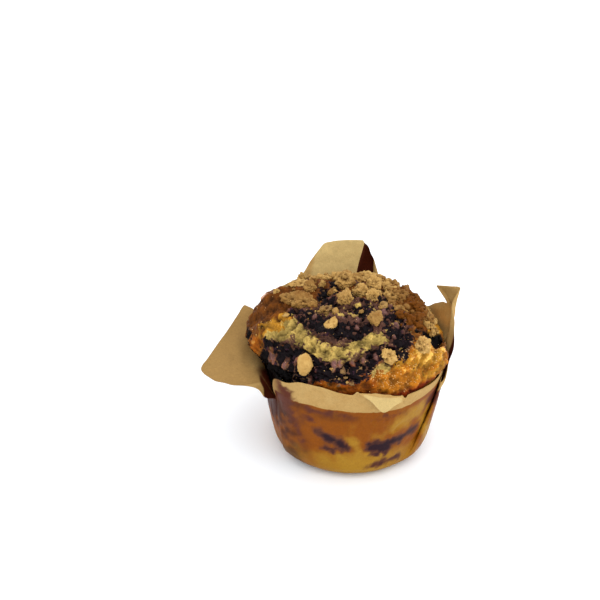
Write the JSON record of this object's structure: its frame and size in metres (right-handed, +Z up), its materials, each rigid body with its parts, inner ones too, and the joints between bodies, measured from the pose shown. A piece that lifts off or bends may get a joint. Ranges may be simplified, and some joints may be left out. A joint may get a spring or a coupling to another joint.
{
  "type": "muffin",
  "caption": "Streusel-topped berry muffin baked in a folded square of brown parchment, its paper corners standing up or bent out.",
  "frame": {"origin": "centre of the paper case's flat bottom, on the surface it stands on", "axes": "+Z up; -Y towards the side whose paper corner is folded down; -X towards the corner that is bent out"},
  "size_m": [0.1063, 0.0896, 0.0753],
  "materials": {
    "parchment": "brown baking parchment, dry and matt at the corners, soaked with butter and berry juice over the cake",
    "cake": "baked muffin crust and crumb with burst berries, matt",
    "streusel": "baked butter streusel, grainy and matt"
  },
  "bodies": {
    "root": {"paper_case": "parchment", "cake": "cake", "nugget_left_slab": "streusel", "nugget_left_curl": "streusel", "nugget_crest_left": "streusel", "nugget_crest_low": "streusel", "nugget_crest_middle": "streusel", "nugget_crest_right": "streusel", "nugget_crest_edge": "streusel", "nugget_top_left": "streusel", "nugget_front_oval": "streusel", "nugget_front_right": "streusel", "nugget_hollow_right": "streusel", "nugget_berry_patch": "streusel", "nugget_patch_right": "streusel"}
  },
  "joints": []
}
